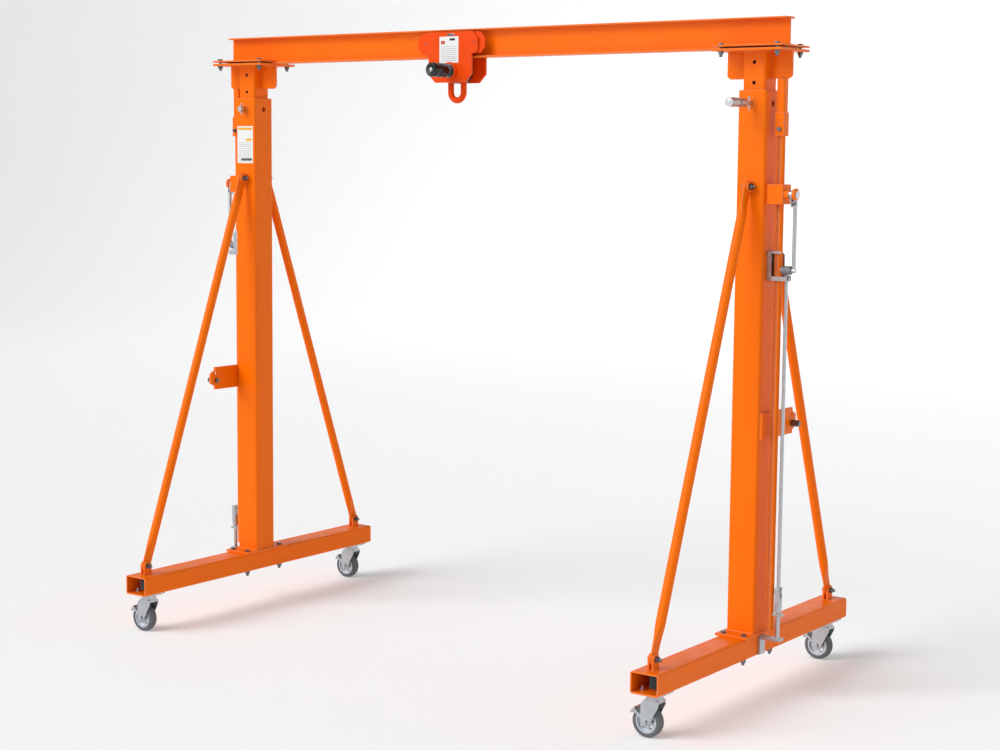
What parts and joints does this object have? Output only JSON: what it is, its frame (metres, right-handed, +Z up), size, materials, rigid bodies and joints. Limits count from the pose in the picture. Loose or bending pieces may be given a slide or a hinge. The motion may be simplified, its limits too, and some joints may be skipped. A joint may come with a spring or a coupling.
{
  "type": "portable gantry crane",
  "caption": "Portable gantry crane: an I-beam on telescopic crank-raised legs with braced feet on braked casters, and a beam trolley with a swinging lifting eye.",
  "frame": {"origin": "on the floor under the middle of the beam", "axes": "+X along the beam to the right leg, -Y the front, where the lock pins and the trolley's knob are, +Z up"},
  "size_m": [2.497, 1.3, 2.214],
  "materials": {
    "orange_paint": "powder coat, semi gloss",
    "red_orange_paint": "paint, gloss",
    "zinc": "zinc plated",
    "dark_steel": "black oxide",
    "grey_grip": "knurled",
    "black_plastic": "moulded",
    "nylon": "plain",
    "cast_wheel": "die cast",
    "tyre_rubber": "satin"
  },
  "bodies": {
    "frame": {"left_base_tube": "orange_paint", "left_lower_column": "orange_paint", "left_gear_housing": "orange_paint", "left_front_brace": "orange_paint", "left_rear_brace": "orange_paint", "right_base_tube": "orange_paint", "right_lower_column": "orange_paint", "right_gear_housing": "orange_paint", "right_front_brace": "orange_paint", "right_rear_brace": "orange_paint", "column_foot_bolts": "dark_steel", "brace_bolts": "dark_steel", "end_blocks": "black_plastic", "rod_guides": "zinc", "stay_rod": "zinc", "foot_latches": "zinc", "top_guide_pads": "nylon", "caster_plates": "zinc", "caster_bolts": "zinc"},
    "upper": {"left_upper_column": "orange_paint", "left_jack_rod": "orange_paint", "right_upper_column": "orange_paint", "right_jack_rod": "orange_paint", "beam": "orange_paint", "beam_clamp_plates": "orange_paint", "beam_clamp_bolts": "dark_steel", "bottom_guide_pads": "nylon"},
    "trolley": {"trolley_front_plate": "red_orange_paint", "trolley_rear_plate": "red_orange_paint", "trolley_rings": "dark_steel"},
    "spindle": {"load_spindle": "zinc", "trolley_knob": "black_plastic"},
    "eye": {"lifting_eye": "red_orange_paint"},
    "left_crank": {"left_crank": "zinc"},
    "left_grip": {"left_crank_grip": "grey_grip"},
    "left_pin": {"left_lock_pin": "zinc"},
    "left_front_swivel": {"left_front_caster_fork": "zinc"},
    "left_front_wheel": {"left_front_caster_hub": "cast_wheel", "left_front_caster_tyre": "tyre_rubber"},
    "left_front_pedal": {"left_front_brake_pedal": "zinc"},
    "left_rear_swivel": {"left_rear_caster_fork": "zinc"},
    "left_rear_wheel": {"left_rear_caster_hub": "cast_wheel", "left_rear_caster_tyre": "tyre_rubber"},
    "left_rear_pedal": {"left_rear_brake_pedal": "zinc"},
    "right_crank": {"right_crank": "zinc"},
    "right_grip": {"right_crank_grip": "grey_grip"},
    "right_pin": {"right_lock_pin": "zinc"},
    "right_front_swivel": {"right_front_caster_fork": "zinc"},
    "right_front_wheel": {"right_front_caster_hub": "cast_wheel", "right_front_caster_tyre": "tyre_rubber"},
    "right_front_pedal": {"right_front_brake_pedal": "zinc"},
    "right_rear_swivel": {"right_rear_caster_fork": "zinc"},
    "right_rear_wheel": {"right_rear_caster_hub": "cast_wheel", "right_rear_caster_tyre": "tyre_rubber"},
    "right_rear_pedal": {"right_rear_brake_pedal": "zinc"},
    "front_left_roller": {"front_left_roller": "zinc"},
    "front_right_roller": {"front_right_roller": "zinc"},
    "rear_left_roller": {"rear_left_roller": "zinc"},
    "rear_right_roller": {"rear_right_roller": "zinc"}
  },
  "joints": [
    {"name": "lift", "type": "slide", "parent": "frame", "child": "upper", "axis": [0, 0, 1], "range_m": [0, 0.39]},
    {"name": "left_crank_turn", "type": "hinge", "parent": "frame", "child": "left_crank", "pos_m": [-1.215, 0.0178, 1.655], "axis": [-1, 0, 0], "continuous": true},
    {"name": "left_grip_spin", "type": "hinge", "parent": "left_crank", "child": "left_grip", "pos_m": [-1.215, 0.0178, 1.414], "axis": [-1, 0, 0], "continuous": true},
    {"name": "left_pin_push", "type": "slide", "parent": "frame", "child": "left_pin", "axis": [0, 1, 0], "range_m": [0, 0.0105]},
    {"name": "left_front_caster_swivel", "type": "hinge", "parent": "frame", "child": "left_front_swivel", "pos_m": [-1.095, -0.585, 0.12], "axis": [0, 0, 1], "continuous": true},
    {"name": "left_front_wheel_spin", "type": "hinge", "parent": "left_front_swivel", "child": "left_front_wheel", "pos_m": [-1.117, -0.585, 0.05], "axis": [0, 1, 0], "continuous": true},
    {"name": "left_front_brake_press", "type": "hinge", "parent": "left_front_swivel", "child": "left_front_pedal", "pos_m": [-1.117, -0.585, 0.05], "axis": [0, -1, 0], "range_deg": [0, 15]},
    {"name": "left_rear_caster_swivel", "type": "hinge", "parent": "frame", "child": "left_rear_swivel", "pos_m": [-1.095, 0.585, 0.12], "axis": [0, 0, 1], "continuous": true},
    {"name": "left_rear_wheel_spin", "type": "hinge", "parent": "left_rear_swivel", "child": "left_rear_wheel", "pos_m": [-1.117, 0.585, 0.05], "axis": [0, 1, 0], "continuous": true},
    {"name": "left_rear_brake_press", "type": "hinge", "parent": "left_rear_swivel", "child": "left_rear_pedal", "pos_m": [-1.117, 0.585, 0.05], "axis": [0, -1, 0], "range_deg": [0, 15]},
    {"name": "right_crank_turn", "type": "hinge", "parent": "frame", "child": "right_crank", "pos_m": [1.215, -0.0178, 1.655], "axis": [1, 0, 0], "continuous": true},
    {"name": "right_grip_spin", "type": "hinge", "parent": "right_crank", "child": "right_grip", "pos_m": [1.215, -0.0178, 1.414], "axis": [1, 0, 0], "continuous": true},
    {"name": "right_pin_push", "type": "slide", "parent": "frame", "child": "right_pin", "axis": [0, 1, 0], "range_m": [0, 0.0105]},
    {"name": "right_front_caster_swivel", "type": "hinge", "parent": "frame", "child": "right_front_swivel", "pos_m": [1.095, -0.585, 0.12], "axis": [0, 0, 1], "continuous": true},
    {"name": "right_front_wheel_spin", "type": "hinge", "parent": "right_front_swivel", "child": "right_front_wheel", "pos_m": [1.073, -0.585, 0.05], "axis": [0, 1, 0], "continuous": true},
    {"name": "right_front_brake_press", "type": "hinge", "parent": "right_front_swivel", "child": "right_front_pedal", "pos_m": [1.073, -0.585, 0.05], "axis": [0, -1, 0], "range_deg": [0, 15]},
    {"name": "right_rear_caster_swivel", "type": "hinge", "parent": "frame", "child": "right_rear_swivel", "pos_m": [1.095, 0.585, 0.12], "axis": [0, 0, 1], "continuous": true},
    {"name": "right_rear_wheel_spin", "type": "hinge", "parent": "right_rear_swivel", "child": "right_rear_wheel", "pos_m": [1.073, 0.585, 0.05], "axis": [0, 1, 0], "continuous": true},
    {"name": "right_rear_brake_press", "type": "hinge", "parent": "right_rear_swivel", "child": "right_rear_pedal", "pos_m": [1.073, 0.585, 0.05], "axis": [0, -1, 0], "range_deg": [0, 15]},
    {"name": "trolley_travel", "type": "slide", "parent": "upper", "child": "trolley", "axis": [1, 0, 0], "range_m": [-0.755, 0.98]},
    {"name": "front_left_roller_spin", "type": "hinge", "parent": "trolley", "child": "front_left_roller", "pos_m": [-0.173, -0.018, 2.145], "axis": [0, 1, 0], "continuous": true},
    {"name": "front_right_roller_spin", "type": "hinge", "parent": "trolley", "child": "front_right_roller", "pos_m": [-0.053, -0.018, 2.145], "axis": [0, 1, 0], "continuous": true},
    {"name": "rear_left_roller_spin", "type": "hinge", "parent": "trolley", "child": "rear_left_roller", "pos_m": [-0.173, 0.018, 2.145], "axis": [0, 1, 0], "continuous": true},
    {"name": "rear_right_roller_spin", "type": "hinge", "parent": "trolley", "child": "rear_right_roller", "pos_m": [-0.053, 0.018, 2.145], "axis": [0, 1, 0], "continuous": true},
    {"name": "spindle_turn", "type": "hinge", "parent": "trolley", "child": "spindle", "pos_m": [-0.113, 0, 2.068], "axis": [0, 1, 0], "continuous": true},
    {"name": "eye_swing", "type": "hinge", "parent": "trolley", "child": "eye", "pos_m": [-0.113, 0, 2.068], "axis": [0, 1, 0], "range_deg": [-70, 70]}
  ],
  "couplings": [
    {"joint": "left_crank_turn", "follows": "lift", "rad_per_m": 125},
    {"joint": "right_crank_turn", "follows": "lift", "rad_per_m": 125},
    {"joint": "front_left_roller_spin", "follows": "trolley_travel", "rad_per_m": 40},
    {"joint": "front_right_roller_spin", "follows": "trolley_travel", "rad_per_m": 40},
    {"joint": "rear_left_roller_spin", "follows": "trolley_travel", "rad_per_m": 40},
    {"joint": "rear_right_roller_spin", "follows": "trolley_travel", "rad_per_m": 40}
  ]
}
